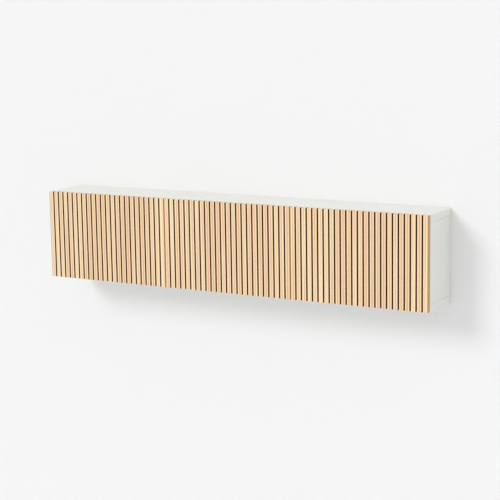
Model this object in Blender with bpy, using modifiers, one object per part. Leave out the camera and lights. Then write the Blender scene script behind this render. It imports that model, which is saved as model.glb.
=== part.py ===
"""Wall cabinet: three shallow white cabinets side by side, each with a grooved birch door.

Metres, +Z up, +Y into the wall, front towards -Y. The origin is on the wall face of the
middle suspension rail, at the middle of its length and height.
"""

import math

import bmesh
import bpy
from mathutils import Matrix, Vector

# cabinet
module_width = 0.600
cabinet_height = 0.380
carcass_depth = 0.200
wall_gap = 0.003
board_thickness = 0.030
side_thickness = 0.020
back_thickness = 0.003
back_recess = 0.015
back_groove_depth = 0.006
edge_round = 0.0008
seat_gap = 0.0003
cut_overrun = 0.002

# doors
door_thickness = 0.018
door_stand_off = 0.002
door_side_reveal = 0.0015
door_end_reveal = 0.001
slat_count = 24
slat_gap = 0.0055
slat_height = 0.005
slat_edge_round = 0.0005

# wall rail
rail_below_top = 0.085
rail_height = 0.040
rail_sheet = 0.0015
rail_end_clearance = 0.010
rail_step = 0.008
rail_lip_height = 0.012
rail_slot_radius = 0.0032
rail_slot_length = 0.018
rail_slot_shares = (-0.41, -0.15, 0.15, 0.41)

# hangers in the upper rear corners
hanger_width = 0.018
hanger_length = 0.058
hanger_height = 0.044
hook_sheet = 0.0025
hook_height = 0.020
hook_throat = 0.0015
hook_tip = 0.009
hook_tail = 0.040
hook_clearance = 0.0004
weld_distance = 0.00001

# concealed hinges
hinge_inset = 0.070
cup_radius = 0.0175
cup_depth = 0.0115
cup_wall = 0.001
cup_edge_distance = 0.0045
flange_radius = 0.0195
flange_sheet = 0.001
wing_length = 0.060
wing_width = 0.013
wing_shift = 0.003
wing_corner = 0.003
wing_taper = 0.0008
pin_radius = 0.00175
pin_clearance = 0.0002
pin_embed = 0.0005
cup_pin_offset = 0.0078
cup_pin_depth = 0.00375
arm_pin_stand_off = 0.0237
arm_pin_setback = 0.0063
link_width = 0.0036
link_thickness = 0.008
link_eye_radius = 0.0034
link_bend_shares = ((0.29, -0.14), (0.57, -0.148))
arm_width = 0.016
arm_boss_radius = 0.004
arm_slot_clearance = 0.0006
arm_slot_depth = 0.0077
arm_length = 0.060
arm_foot_start = 0.022
arm_foot_width = 0.011
foot_inset = 0.001
plate_sheet = 0.002
plate_wing_setback = 0.037
plate_base_width = 0.0135
plate_taper = 0.0008
plate_width = 0.014
plate_height = 0.050

# push latches
latch_width = 0.012
latch_length = 0.060
latch_height = 0.016
latch_setback = 0.003
plunger_radius = 0.004
plunger_length = 0.045
plunger_travel = 0.002
plunger_clearance = 0.0003
striker_width = 0.014
striker_height = 0.022
striker_sheet = 0.001

# places that follow from the sizes above
top_z = rail_below_top
bottom_z = top_z - cabinet_height
carcass_rear_y = -wall_gap
carcass_front_y = carcass_rear_y - carcass_depth
door_back_y = carcass_front_y - door_stand_off
door_front_y = door_back_y - door_thickness
back_rear_y = carcass_rear_y - back_recess
back_front_y = back_rear_y - back_thickness
under_top_z = top_z - board_thickness
over_bottom_z = bottom_z + board_thickness
middle_z = (top_z + bottom_z) / 2
slat_pitch = module_width / slat_count
cup_across = door_side_reveal + cup_edge_distance + cup_radius
cup_pin_across = cup_across - cup_pin_offset
arm_pin_across = side_thickness + arm_pin_stand_off

# name of each cabinet, its place along the row, and the side its door is hinged on
modules = (("left", -1, "left"), ("middle", 0, "left"), ("right", 1, "right"))

# facets round a circle
cup_facets = 40
pin_facets = 16
plunger_facets = 24
eye_steps = 14
arc_steps = 8
disc_steps = 12

# plane of an outline: across the hinge, along the rail, and through a wall
flat_plane = Matrix.Identity(3)
rail_plane = Matrix(((0, 0, 1), (1, 0, 0), (0, 1, 0)))
wall_plane = Matrix(((1, 0, 0), (0, 0, 1), (0, -1, 0)))

paints = {
    "white_foil": ((0.80, 0.81, 0.77, 1), 0.45, 0),
    "birch": ((0.83, 0.61, 0.38, 1), 0.5, 0),
    "white_board": ((0.82, 0.82, 0.79, 1), 0.6, 0),
    "zinc_plate": ((0.62, 0.63, 0.64, 1), 0.35, 1),
    "hinge_nickel": ((0.70, 0.69, 0.67, 1), 0.25, 1),
    "white_plastic": ((0.86, 0.86, 0.85, 1), 0.4, 0),
    "grey_plastic": ((0.35, 0.35, 0.36, 1), 0.45, 0),
}


def clear_scene():
    for old in list(bpy.data.objects):
        bpy.data.objects.remove(old)


def make_collection(name):
    found = bpy.data.collections.new(name)
    bpy.context.scene.collection.children.link(found)
    return found


def make_material(name):
    colour, roughness, metallic = paints[name]
    material = bpy.data.materials.new(name)
    material.use_nodes = True
    shader = material.node_tree.nodes["Principled BSDF"]
    shader.inputs["Base Color"].default_value = colour
    shader.inputs["Roughness"].default_value = roughness
    shader.inputs["Metallic"].default_value = metallic
    material.diffuse_color = colour
    return material


clear_scene()
cabinet_parts = make_collection("wall_cabinet")
cutters = make_collection("cutters")
materials = {name: make_material(name) for name in paints}


def add_object(name, mesh, paint=None):
    """A visible part when it has a paint, otherwise a helper that only cuts or joins."""
    made = bpy.data.objects.new(name, mesh)
    if paint:
        mesh.materials.append(materials[paint])
        cabinet_parts.objects.link(made)
    else:
        made.hide_render = True
        made.display_type = "WIRE"
        cutters.objects.link(made)
    return made


def box_into(shape, low, high):
    """Adds a box between two corners to a bmesh."""
    low, high = Vector(low), Vector(high)
    size = high - low
    place = Matrix.Translation((low + high) / 2) @ Matrix.Diagonal((*size, 1))
    bmesh.ops.create_cube(shape, size=1, matrix=place)


def boxes(name, corners, place, paint=None):
    """Boxes in one mesh, each between two corners, in an object at a place of its own."""
    shape = bmesh.new()
    for low, high in corners:
        box_into(shape, Vector(low) - Vector(place), Vector(high) - Vector(place))
    mesh = bpy.data.meshes.new(name)
    shape.to_mesh(mesh)
    shape.free()
    made = add_object(name, mesh, paint)
    made.location = place
    return made


def box(name, low, high, paint=None, rounding=0):
    """A box between two corners, placed by its middle."""
    made = boxes(name, [(low, high)], (Vector(low) + Vector(high)) / 2, paint)
    if rounding:
        bevel = made.modifiers.new("edge_round", "BEVEL")
        bevel.width = rounding
        bevel.segments = 1
    return made


def cylinder(name, start, end, radius, facets, paint=None):
    """A cylinder from one point to another."""
    start, end = Vector(start), Vector(end)
    along = end - start
    shape = bmesh.new()
    bmesh.ops.create_cone(
        shape, cap_ends=True, segments=facets, radius1=radius, radius2=radius, depth=along.length,
    )
    mesh = bpy.data.meshes.new(name)
    shape.to_mesh(mesh)
    shape.free()
    mesh.shade_smooth()
    mesh.set_sharp_from_angle(angle=math.radians(35))
    made = add_object(name, mesh, paint)
    made.matrix_basis = Matrix.LocRotScale((start + end) / 2, along.to_track_quat("Z", "Y"), None)
    return made


def outline_solid(name, outline, thickness, plane, centre, paint=None):
    """A flat outline given thickness, centred on a point, in one of the planes above."""
    curve = bpy.data.curves.new(name, "CURVE")
    curve.dimensions = "2D"
    curve.fill_mode = "BOTH"
    curve.extrude = thickness / 2
    spline = curve.splines.new("POLY")
    spline.points.add(len(outline) - 1)
    for point, (across, along) in zip(spline.points, outline):
        point.co = (across, along, 0, 1)
    spline.use_cyclic_u = True
    drawn = bpy.data.objects.new(name + "_outline", curve)
    cabinet_parts.objects.link(drawn)
    bpy.context.view_layer.update()
    graph = bpy.context.evaluated_depsgraph_get()
    mesh = bpy.data.meshes.new_from_object(drawn.evaluated_get(graph))
    bpy.data.objects.remove(drawn)
    shape = bmesh.new()
    shape.from_mesh(mesh)
    bmesh.ops.remove_doubles(shape, verts=shape.verts, dist=weld_distance)
    bmesh.ops.recalc_face_normals(shape, faces=shape.faces)
    shape.to_mesh(mesh)
    shape.free()
    mesh.name = name
    made = add_object(name, mesh, paint)
    made.matrix_basis = Matrix.Translation(centre) @ plane.to_4x4()
    return made


def carry(carrier, *pieces):
    """Parents pieces to an object, which leaves them where they are."""
    for piece in pieces:
        piece.parent = carrier
        piece.matrix_parent_inverse = carrier.matrix_basis.inverted()


def pivot(name, place, *pieces):
    """An empty on a joint's axis that carries the pieces which turn with it."""
    turning = bpy.data.objects.new(name, None)
    cabinet_parts.objects.link(turning)
    turning.location = place
    turning.empty_display_size = cup_radius
    carry(turning, *pieces)


def combine(target, other, operation):
    """Cuts or joins another object with this one."""
    step = target.modifiers.new(operation.lower(), "BOOLEAN")
    step.operation = operation
    step.solver = "EXACT"
    step.object = other
    carry(target, other)


def cut(target, *others):
    for other in others:
        combine(target, other, "DIFFERENCE")


def join(target, *others):
    for other in others:
        combine(target, other, "UNION")


def arc(centre, radius, start, sweep, steps):
    """Points along part of a circle, angles in radians."""
    return [
        (centre[0] + radius * math.cos(start + sweep * step / steps),
         centre[1] + radius * math.sin(start + sweep * step / steps))
        for step in range(steps + 1)
    ]


def strap(path, width, end_radius):
    """The outline of a bent strap of even width, with a round eye at each end."""
    points = [Vector(point) for point in path]
    runs = [(end - start).normalized() for start, end in zip(points, points[1:])]
    half = width / 2
    spread = math.asin(min(half / end_radius, 1))
    sweep = 2 * (math.pi - spread)

    def side(sign):
        edge = []
        for here, before, after in zip(points[1:-1], runs, runs[1:]):
            mitre = (before + after).normalized()
            reach = half / mitre.dot(before)
            edge.append(tuple(here + sign * reach * Vector((-mitre.y, mitre.x))))
        return edge

    first, last = runs[0], runs[-1]
    start_angle = math.atan2(first.y, first.x) + spread
    end_angle = math.atan2(-last.y, -last.x) + spread
    return (
        arc(points[0], end_radius, start_angle, sweep, eye_steps)
        + side(-1)
        + arc(points[-1], end_radius, end_angle, sweep, eye_steps)
        + side(1)[::-1]
    )


def disc_with_wings(radius, low, high, length, corner, taper):
    """The outline of a disc with a bar across it, which narrows towards its cut corners."""
    right, left = math.acos(high / radius), math.acos(low / radius)
    half = length / 2
    inner = half - corner
    near, far = low + taper, high - taper
    return (
        arc((0, 0), radius, -right, 2 * right, disc_steps)
        + [(far, inner), (far - corner, half), (near + corner, half), (near, inner)]
        + arc((0, 0), radius, left, 2 * (math.pi - left), disc_steps)
        + [(near, -inner), (near + corner, -half), (far - corner, -half), (far, -inner)]
    )


def cross_plate(start, end, half_width, taper, wing_middle, wing_half_length, wing_radius):
    """The outline of a long plate that narrows to its ends, with a round-ended wing on each side."""
    half_end = half_width - taper
    reach = wing_half_length - wing_radius
    lower = arc((wing_middle, -reach), wing_radius, math.pi, math.pi, arc_steps)
    upper = arc((wing_middle, reach), wing_radius, 0, math.pi, arc_steps)
    return (
        [(start, -half_end), (wing_middle - wing_radius, -half_width)] + lower
        + [(wing_middle + wing_radius, -half_width), (end, -half_end), (end, half_end)]
        + [(wing_middle + wing_radius, half_width)] + upper
        + [(wing_middle - wing_radius, half_width), (start, half_end)]
    )


def build_carcass(name, centre_x):
    """Top and bottom boards over the full width, sides between them, and a grooved-in back."""
    left_x = centre_x - module_width / 2 + seat_gap / 2
    right_x = centre_x + module_width / 2 - seat_gap / 2
    inner_left = left_x + side_thickness
    inner_right = right_x - side_thickness
    groove_front = back_front_y - seat_gap
    groove_rear = back_rear_y + seat_gap
    side_reach = back_groove_depth - seat_gap

    for board, low_z, high_z in (("top", under_top_z, top_z), ("bottom", bottom_z, over_bottom_z)):
        plank = box(
            f"{board}_board_{name}", (left_x, carcass_front_y, low_z), (right_x, carcass_rear_y, high_z),
            "white_foil", edge_round,
        )
        inner_z = low_z if board == "top" else high_z
        groove = box(
            f"{board}_board_{name}_groove",
            (inner_left - back_groove_depth, groove_front, inner_z - back_groove_depth),
            (inner_right + back_groove_depth, groove_rear, inner_z + back_groove_depth),
        )
        cut(plank, groove)

    for side, low_x, inner_x in (("left", left_x, inner_left), ("right", inner_right, inner_right)):
        panel = box(
            f"side_{side}_{name}", (low_x, carcass_front_y, over_bottom_z + seat_gap),
            (low_x + side_thickness, carcass_rear_y, under_top_z - seat_gap), "white_foil", edge_round,
        )
        groove = box(
            f"side_{side}_{name}_groove",
            (inner_x - back_groove_depth, groove_front, over_bottom_z - cut_overrun),
            (inner_x + back_groove_depth, groove_rear, under_top_z + cut_overrun),
        )
        cut(panel, groove)

    back = box(
        f"back_panel_{name}", (inner_left - side_reach, back_front_y, over_bottom_z - side_reach),
        (inner_right + side_reach, back_rear_y, under_top_z + side_reach), "white_board",
    )
    build_rail(name, centre_x)
    for side, inner_x, inward in (("left", inner_left, 1), ("right", inner_right, -1)):
        window = build_hanger(f"{side}_{name}", inner_x, inward)
        cut(back, window)


def build_rail(name, centre_x):
    """A folded steel strip: a web on the wall, a step forward and a lip that the hooks drop over."""
    half = rail_height / 2
    lip_front = -rail_step - rail_sheet
    profile = [
        (0, -half), (0, half - rail_lip_height), (-rail_step, half - rail_lip_height),
        (-rail_step, half), (lip_front, half), (lip_front, half - rail_lip_height - rail_sheet),
        (-rail_sheet, half - rail_lip_height - rail_sheet), (-rail_sheet, -half),
    ]
    length = module_width - 2 * (side_thickness + rail_end_clearance)
    rail = outline_solid(f"wall_rail_{name}", profile, length, rail_plane, (centre_x, 0, 0), "zinc_plate")
    slot_z = -(rail_lip_height + rail_sheet) / 2
    straight = rail_slot_length / 2 - rail_slot_radius
    slot_outline = strap(((-straight, 0), (straight, 0)), 2 * rail_slot_radius, rail_slot_radius)
    for number, share in enumerate(rail_slot_shares):
        slot = outline_solid(
            f"wall_rail_{name}_slot_{number}", slot_outline, 2 * (rail_sheet + cut_overrun), wall_plane,
            (centre_x + share * length, 0, slot_z),
        )
        cut(rail, slot)


def build_hanger(name, inner_x, inward):
    """A plastic block in the corner, and a steel hook that passes the back and drops over the rail."""
    near_x = inner_x + inward * seat_gap
    far_x = near_x + inward * hanger_width
    low_x, high_x = sorted((near_x, far_x))
    block_top = under_top_z - seat_gap
    block_rear = back_front_y - seat_gap
    block = box(
        f"hanger_block_{name}", (low_x, block_rear - hanger_length, block_top - hanger_height),
        (high_x, block_rear, block_top), "white_plastic", edge_round,
    )
    half = rail_height / 2
    hook_low = half + hook_throat
    hook_high = hook_low + hook_height
    hook_x = (low_x + high_x) / 2
    tongue_front = -rail_step + hook_throat
    outline = [
        (block_rear - hook_tail, hook_low), (tongue_front, hook_low),
        (tongue_front, hook_low - hook_tip), (-rail_sheet, hook_low - hook_tip),
        (-rail_sheet, hook_high), (block_rear - hook_tail, hook_high),
    ]
    outline_solid(f"hanger_hook_{name}", outline, hook_sheet, rail_plane, (hook_x, 0, 0), "zinc_plate")
    half_slot = hook_sheet / 2 + hook_clearance
    pocket = box(
        f"hanger_block_{name}_pocket",
        (hook_x - half_slot, block_rear - hook_tail - hook_clearance, hook_low - hook_clearance),
        (hook_x + half_slot, block_rear + cut_overrun, hook_high + hook_clearance),
    )
    cut(block, pocket)
    return box(
        f"hanger_window_{name}",
        (hook_x - half_slot, back_front_y - cut_overrun, hook_low - hook_clearance),
        (hook_x + half_slot, back_rear_y + cut_overrun, hook_high + hook_clearance),
    )


def build_door(name, centre_x, hinge_side):
    """A board with birch slats over dark gaps, its hinges on one side and its latch on the other."""
    left_x = centre_x - module_width / 2
    door = box(
        f"door_{name}",
        (left_x + door_side_reveal, door_front_y, bottom_z + door_end_reveal),
        (left_x + module_width - door_side_reveal, door_back_y, top_z - door_end_reveal),
        "birch", slat_edge_round,
    )
    gaps = []
    for number in range(1, slat_count):
        middle = left_x + number * slat_pitch
        gaps.append((
            (middle - slat_gap / 2, door_front_y - cut_overrun, bottom_z - cut_overrun),
            (middle + slat_gap / 2, door_front_y + slat_height, top_z + cut_overrun),
        ))
    cut(door, boxes(f"door_{name}_slat_gaps", gaps, (centre_x, door_front_y, middle_z)))

    inward = 1 if hinge_side == "left" else -1
    hinge_edge = centre_x - inward * module_width / 2
    latch_edge = centre_x + inward * module_width / 2
    cups, links = [], []
    for level, hinge_z in (("upper", top_z - hinge_inset), ("lower", bottom_z + hinge_inset)):
        cup, link, bore = build_hinge(f"{level}_{name}", hinge_edge, inward, hinge_z)
        cut(door, bore)
        cups.append(cup)
        links.append(link)
    striker = build_latch(name, latch_edge, -inward)
    pivot(
        f"door_{name}_pivot",
        (hinge_edge + inward * cup_pin_across, door_back_y - cup_pin_depth, middle_z),
        door, striker, *cups,
    )
    pivot(
        f"hinge_links_{name}_pivot",
        (hinge_edge + inward * arm_pin_across, carcass_front_y + arm_pin_setback, middle_z), *links,
    )


def build_hinge(name, edge_x, inward, centre_z):
    """A cup in the door, an arm on the side, and a bent link on a pin in each.

    Distances across are measured from the cabinet's outer side face, depths from its front edge.
    """

    def at(across, depth, height=0):
        return (edge_x + inward * across, carcass_front_y + depth, centre_z + height)

    def span(across, depth, height):
        """The two corners of a box from pairs of distances."""
        ends = [at(across[side], depth[side], height[side]) for side in (0, 1)]
        return [tuple(pick(values) for values in zip(*ends)) for pick in (min, max)]

    door_back = -door_stand_off
    flange_back = door_back + seat_gap
    flange_top = flange_back + flange_sheet
    cup_pin = (cup_pin_across, door_back - cup_pin_depth)
    arm_pin = (arm_pin_across, arm_pin_setback)

    edges = sorted((inward * (wing_shift - wing_width / 2), inward * (wing_shift + wing_width / 2)))
    cup = outline_solid(
        f"hinge_cup_{name}", disc_with_wings(flange_radius, *edges, wing_length, wing_corner, wing_taper),
        flange_sheet, wall_plane, at(cup_across, (flange_back + flange_top) / 2), "hinge_nickel",
    )
    well = cylinder(
        f"hinge_cup_{name}_well", at(cup_across, door_back - cup_depth),
        at(cup_across, (flange_back + flange_top) / 2), cup_radius, cup_facets,
    )
    hollow = cylinder(
        f"hinge_cup_{name}_hollow", at(cup_across, door_back - cup_depth + cup_wall),
        at(cup_across, flange_top + cut_overrun), cup_radius - cup_wall, cup_facets,
    )
    inner_half = math.sqrt((cup_radius - cup_wall) ** 2 - cup_pin_offset ** 2)
    pin = cylinder(
        f"hinge_cup_{name}_pin", at(*cup_pin, -inner_half - pin_embed), at(*cup_pin, inner_half + pin_embed),
        pin_radius, pin_facets,
    )
    join(cup, well)
    cut(cup, hollow)
    join(cup, pin)

    along = Vector(arm_pin) - Vector(cup_pin)
    beside = Vector((-along.y, along.x))
    bends = [tuple(Vector(cup_pin) + run * along + rise * beside) for run, rise in link_bend_shares]
    path = [(inward * across, depth) for across, depth in (cup_pin, *bends, arm_pin)]
    link = outline_solid(
        f"hinge_link_{name}", strap(path, link_width, link_eye_radius), link_thickness, flat_plane,
        at(0, 0), "zinc_plate",
    )
    half_link = link_thickness / 2
    for end, place in (("cup", cup_pin), ("arm", arm_pin)):
        hole = cylinder(
            f"hinge_link_{name}_{end}_hole", at(*place, -half_link - cut_overrun),
            at(*place, half_link + cut_overrun), pin_radius + pin_clearance, pin_facets,
        )
        cut(link, hole)

    half_arm = arm_width / 2
    arm_path = [(inward * arm_pin[0], arm_pin[1]), (inward * arm_pin[0], arm_length)]
    arm = outline_solid(
        f"hinge_arm_{name}", strap(arm_path, 2 * arm_boss_radius, arm_boss_radius), arm_width, flat_plane,
        at(0, 0), "hinge_nickel",
    )
    foot_start = side_thickness + seat_gap
    foot_middle = foot_start + plate_sheet / 2
    plate = outline_solid(
        f"hinge_arm_{name}_plate",
        cross_plate(arm_foot_start, arm_length, plate_base_width / 2, plate_taper, plate_wing_setback,
                    plate_height / 2, plate_width / 2),
        plate_sheet, rail_plane, at(foot_middle, 0),
    )
    foot = box(f"hinge_arm_{name}_foot", *span(
        (foot_middle, arm_pin[0]), (arm_foot_start + foot_inset, arm_length - foot_inset),
        (-arm_foot_width / 2, arm_foot_width / 2),
    ))
    half_slot = half_link + arm_slot_clearance
    slot = box(f"hinge_arm_{name}_slot", *span(
        (arm_pin[0] - 2 * arm_boss_radius, arm_pin[0] + 2 * arm_boss_radius),
        (arm_pin[1] - 2 * arm_boss_radius, arm_pin[1] + arm_slot_depth), (-half_slot, half_slot),
    ))
    arm_pin_solid = cylinder(
        f"hinge_arm_{name}_pin", at(*arm_pin, pin_embed - half_arm), at(*arm_pin, half_arm - pin_embed),
        pin_radius, pin_facets,
    )
    join(arm, foot, plate)
    cut(arm, slot)
    join(arm, arm_pin_solid)

    bore = cylinder(
        f"hinge_cup_{name}_bore", at(cup_across, door_back - cup_depth - seat_gap),
        at(cup_across, door_back + cut_overrun), cup_radius + seat_gap, cup_facets,
    )
    return cup, link, bore


def build_latch(name, edge_x, inward):
    """A push latch: a housing on the side, a plunger in its bore and a striker on the door."""
    near_x = edge_x + inward * (side_thickness + seat_gap)
    far_x = near_x + inward * latch_width
    low_x, high_x = sorted((near_x, far_x))
    middle_x = (low_x + high_x) / 2
    front_y = carcass_front_y + latch_setback
    half_height = latch_height / 2
    housing = box(
        f"latch_housing_{name}", (low_x, front_y, middle_z - half_height),
        (high_x, front_y + latch_length, middle_z + half_height), "white_plastic", edge_round,
    )
    striker_front = door_back_y + seat_gap
    striker_back = striker_front + striker_sheet
    striker = box(
        f"latch_striker_{name}",
        (middle_x - striker_width / 2, striker_front, middle_z - striker_height / 2),
        (middle_x + striker_width / 2, striker_back, middle_z + striker_height / 2), "zinc_plate",
    )
    tip_y = striker_back + seat_gap
    tail_y = tip_y + plunger_length
    cylinder(
        f"latch_plunger_{name}", (middle_x, tip_y, middle_z), (middle_x, tail_y, middle_z),
        plunger_radius, plunger_facets, "grey_plastic",
    )
    bore = cylinder(
        f"latch_housing_{name}_bore", (middle_x, front_y - cut_overrun, middle_z),
        (middle_x, tail_y + plunger_travel + seat_gap, middle_z), plunger_radius + plunger_clearance,
        plunger_facets,
    )
    cut(housing, bore)
    return striker


for module_name, place, hinge_side in modules:
    module_x = place * module_width
    build_carcass(module_name, module_x)
    build_door(module_name, module_x, hinge_side)
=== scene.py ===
import math

import bmesh
import bpy
from mathutils import Matrix, Vector


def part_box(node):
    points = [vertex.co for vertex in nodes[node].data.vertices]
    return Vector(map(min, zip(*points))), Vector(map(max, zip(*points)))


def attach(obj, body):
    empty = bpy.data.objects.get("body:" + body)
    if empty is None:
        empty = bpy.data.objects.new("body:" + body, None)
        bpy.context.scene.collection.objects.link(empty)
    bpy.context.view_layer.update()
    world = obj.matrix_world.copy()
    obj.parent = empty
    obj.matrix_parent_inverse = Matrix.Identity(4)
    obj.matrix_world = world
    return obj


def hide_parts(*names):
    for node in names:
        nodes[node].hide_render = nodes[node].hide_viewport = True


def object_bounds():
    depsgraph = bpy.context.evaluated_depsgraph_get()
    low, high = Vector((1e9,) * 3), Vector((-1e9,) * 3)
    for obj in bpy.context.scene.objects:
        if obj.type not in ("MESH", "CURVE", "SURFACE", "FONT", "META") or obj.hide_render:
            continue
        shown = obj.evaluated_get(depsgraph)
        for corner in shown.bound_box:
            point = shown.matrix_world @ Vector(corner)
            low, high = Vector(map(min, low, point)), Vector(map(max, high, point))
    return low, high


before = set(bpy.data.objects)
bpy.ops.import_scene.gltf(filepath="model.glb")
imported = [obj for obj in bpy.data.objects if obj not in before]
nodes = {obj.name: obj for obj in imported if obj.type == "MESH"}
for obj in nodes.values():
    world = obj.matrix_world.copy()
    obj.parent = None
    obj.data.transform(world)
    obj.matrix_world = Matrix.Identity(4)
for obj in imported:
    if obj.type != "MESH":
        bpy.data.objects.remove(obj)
cadLow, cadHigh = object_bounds()
hinges = {"left": "left", "middle": "left", "right": "right"}  # which side each door hangs on
print("frame loaded:", len(nodes), "solids")


# Small helpers for node trees

def setSockets(tree, node, values):
    # another node's socket is linked, anything else is set as the value
    for socket, value in values.items():
        if isinstance(value, bpy.types.NodeSocket):
            tree.links.new(value, node.inputs[socket])
        else:
            node.inputs[socket].default_value = value
    return node


def addNode(tree, kind, values=None, **settings):
    node = tree.nodes.new(kind)
    for name, value in settings.items():
        setattr(node, name, value)
    return setSockets(tree, node, values or {})


def addMath(tree, operation, first, second=0.0, third=0.0):
    values = {0: first, 1: second, 2: third}
    return addNode(tree, "ShaderNodeMath", values, operation=operation).outputs[0]


def splitXYZ(tree, vector):
    return addNode(tree, "ShaderNodeSeparateXYZ", {0: vector}).outputs


def joinXYZ(tree, values):
    return addNode(tree, "ShaderNodeCombineXYZ", values).outputs[0]


def mapRange(tree, value, fromRange, toRange):
    return addNode(tree, "ShaderNodeMapRange", {
        "Value": value, "From Min": fromRange[0], "From Max": fromRange[1],
        "To Min": toRange[0], "To Max": toRange[1],
    }).outputs[0]


def mixColours(tree, factor, first, second):
    values = {0: factor, 6: first, 7: second}
    return addNode(tree, "ShaderNodeMix", values, data_type="RGBA").outputs[2]


def newGroup(name, kind, inputs, outputs):
    tree = bpy.data.node_groups.new(name, kind)
    for socketName, socketType, value in inputs:
        socket = tree.interface.new_socket(name=socketName, in_out="INPUT", socket_type=socketType)
        if value is not None:
            socket.default_value = value
    for socketName, socketType in outputs:
        tree.interface.new_socket(name=socketName, in_out="OUTPUT", socket_type=socketType)
    return tree, tree.nodes.new("NodeGroupInput"), tree.nodes.new("NodeGroupOutput")


# Shared shader effects

mottleDetail = {"Cloud": 3.0, "Grit": 2.0}
grainLook = {
    "Bands": {"stretch": (200.0, 200.0, 1.6), "detail": 2.0, "distortion": 0.35},
    "Streaks": {"stretch": (520.0, 520.0, 7.0), "detail": 4.0, "distortion": 0.2},
    "Pores": {"stretch": (1500.0, 1500.0, 60.0), "detail": 2.0, "distortion": 0.0},
}
noiseMiddle = (0.3, 0.7)


def makeMottleGroup():
    # soft uneven tone and a fine surface height, for lacquer, foil and plastic
    tree, given, out = newGroup(
        "surfaceMottle", "ShaderNodeTree",
        [("Vector", "NodeSocketVector", None), ("Cloud Scale", "NodeSocketFloat", 6.0),
         ("Grit Scale", "NodeSocketFloat", 900.0)],
        [("Cloud", "NodeSocketFloat"), ("Grit", "NodeSocketFloat")],
    )
    for name, detail in mottleDetail.items():
        noise = addNode(tree, "ShaderNodeTexNoise", {
            "Vector": given.outputs["Vector"], "Scale": given.outputs[name + " Scale"], "Detail": detail,
        })
        tree.links.new(noise.outputs["Fac"], out.inputs[name])
    return tree


def makeGrainGroup():
    # straight wood grain: wide bands, fine streaks and short pores, all running along Z
    tree, given, out = newGroup(
        "woodGrain", "ShaderNodeTree",
        [("Vector", "NodeSocketVector", None), ("Piece Shift", "NodeSocketFloat", 0.0)],
        [("Bands", "NodeSocketFloat"), ("Streaks", "NodeSocketFloat"), ("Pores", "NodeSocketFloat")],
    )
    shift = joinXYZ(tree, {axis: given.outputs["Piece Shift"] for axis in "XYZ"})
    vectors = {0: given.outputs["Vector"], 1: shift}
    moved = addNode(tree, "ShaderNodeVectorMath", vectors, operation="ADD").outputs[0]
    for name, look in grainLook.items():
        mapped = addNode(tree, "ShaderNodeMapping", {"Vector": moved, "Scale": look["stretch"]})
        noise = addNode(tree, "ShaderNodeTexNoise", {
            "Vector": mapped.outputs[0], "Scale": 1.0, "Detail": look["detail"],
            "Distortion": look["distortion"],
        })
        tree.links.new(noise.outputs["Fac"], out.inputs[name])
    return tree


mottleGroup = makeMottleGroup()
grainGroup = makeGrainGroup()


def startMaterial(name):
    material = bpy.data.materials.new(name)
    material.use_nodes = True
    tree = material.node_tree
    coords = addNode(tree, "ShaderNodeTexCoord").outputs["Object"]
    return material, tree, tree.nodes["Principled BSDF"], coords


def placeGroup(tree, group, values):
    return setSockets(tree, addNode(tree, "ShaderNodeGroup", node_tree=group), values)


def placeMottle(tree, coords, look):
    return placeGroup(tree, mottleGroup, {
        "Vector": coords, "Cloud Scale": look["cloud"], "Grit Scale": look["grit"],
    }).outputs


def spread(tree, value, low, high):
    # maps the middle of a noise to a range
    return mapRange(tree, value, noiseMiddle, (low, high))


def addBump(tree, shader, height, strength, distance):
    bump = addNode(tree, "ShaderNodeBump", {"Height": height, "Strength": strength, "Distance": distance})
    tree.links.new(bump.outputs[0], shader.inputs["Normal"])


# Finishes

mottledFinishes = {
    "whiteFoil": {
        "light": (0.812, 0.821, 0.770, 1), "dark": (0.786, 0.795, 0.744, 1), "metallic": 0.0,
        "roughness": (0.34, 0.46), "cloud": 5.0, "grit": 700.0, "bump": 0.12, "depth": 0.0002,
    },
    "whiteBoard": {
        "light": (0.78, 0.785, 0.76, 1), "dark": (0.73, 0.735, 0.71, 1), "metallic": 0.0,
        "roughness": (0.55, 0.7), "cloud": 9.0, "grit": 420.0, "bump": 0.3, "depth": 0.0003,
    },
    "hingeNickel": {
        "light": (0.71, 0.70, 0.67, 1), "dark": (0.60, 0.59, 0.56, 1), "metallic": 1.0,
        "roughness": (0.22, 0.34), "cloud": 60.0, "grit": 2600.0, "bump": 0.15, "depth": 0.0001,
    },
    "whitePlastic": {
        "light": (0.80, 0.80, 0.785, 1), "dark": (0.75, 0.75, 0.735, 1), "metallic": 0.0,
        "roughness": (0.38, 0.5), "cloud": 30.0, "grit": 1800.0, "bump": 0.25, "depth": 0.0001,
    },
    "greyPlastic": {
        "light": (0.30, 0.30, 0.31, 1), "dark": (0.22, 0.22, 0.23, 1), "metallic": 0.0,
        "roughness": (0.42, 0.56), "cloud": 40.0, "grit": 1800.0, "bump": 0.25, "depth": 0.0001,
    },
    "chipBoard": {
        "light": (0.52, 0.38, 0.24, 1), "dark": (0.36, 0.24, 0.14, 1), "metallic": 0.0,
        "roughness": (0.75, 0.9), "cloud": 700.0, "grit": 2200.0, "bump": 0.5, "depth": 0.0003,
    },
    "bufferRubber": {
        "light": (0.62, 0.62, 0.60, 1), "dark": (0.55, 0.55, 0.53, 1), "metallic": 0.0,
        "roughness": (0.30, 0.42), "cloud": 80.0, "grit": 1500.0, "bump": 0.1, "depth": 0.0001,
    },
}


# painted shade: a dark line in the joints where the side panels meet the top and bottom boards
paintedJointShade = {
    "levels": [corner.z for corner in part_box("side_left_left")], "reach": 0.0010,
    "colour": (0.22, 0.22, 0.20, 1), "share": 0.16, "steepest": 0.9,
}


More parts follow.
